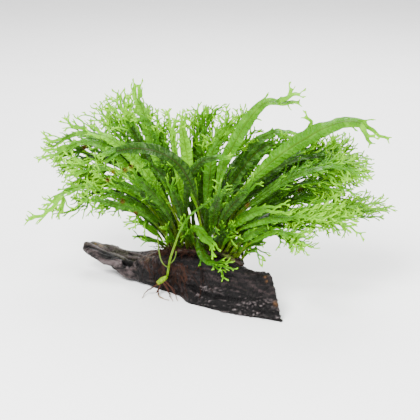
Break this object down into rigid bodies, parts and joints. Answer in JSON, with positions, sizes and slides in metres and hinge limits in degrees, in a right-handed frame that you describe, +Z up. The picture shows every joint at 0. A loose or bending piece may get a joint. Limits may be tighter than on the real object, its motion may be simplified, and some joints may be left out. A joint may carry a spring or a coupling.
{
  "type": "java fern on driftwood",
  "caption": "Aquarium fern with long strap fronds that fork into lacy tips, its creeping stems grown onto a dark slab of driftwood that lies on its flat underside",
  "frame": {"origin": "on the ground, under the middle of the whole object's box", "axes": "+X across the front, towards the wood's thick sawn end; +Y away from the viewer; +Z up"},
  "size_m": [0.3009, 0.2029, 0.1739],
  "materials": {
    "wood": "matte",
    "stem": "satin",
    "bud": "satin",
    "frond": "satin"
  },
  "bodies": {
    "root": {"driftwood": "wood", "creeping_stem_front": "stem", "creeping_stem_middle": "stem", "creeping_stem_back": "stem", "young_stem": "bud", "frond_young": "frond", "frond_01": "frond", "frond_02": "frond", "frond_03": "frond", "frond_04": "frond", "frond_04b": "frond", "frond_05": "frond", "frond_06": "frond", "frond_07": "frond", "frond_08": "frond", "frond_09": "frond", "frond_10": "frond", "frond_11": "frond", "frond_12": "frond", "frond_13": "frond", "frond_14": "frond", "frond_15": "frond", "frond_16": "frond", "frond_17": "frond", "frond_18": "frond", "frond_19": "frond", "frond_20": "frond", "frond_21": "frond", "frond_22": "frond", "frond_23": "frond", "frond_24": "frond", "frond_25": "frond", "frond_26": "frond", "frond_27": "frond", "frond_29": "frond", "frond_30": "frond", "frond_31": "frond", "frond_32": "frond", "frond_33": "frond", "frond_35": "frond", "frond_37": "frond", "frond_38": "frond", "frond_39": "frond", "frond_40": "frond", "frond_41": "frond", "frond_42": "frond", "frond_43": "frond", "frond_44": "frond", "frond_45": "frond", "frond_46": "frond", "frond_47": "frond", "frond_48": "frond", "frond_51": "frond", "frond_52": "frond", "frond_53": "frond", "frond_54": "frond", "frond_55": "frond", "frond_56": "frond", "frond_57": "frond", "frond_58": "frond"}
  },
  "joints": []
}
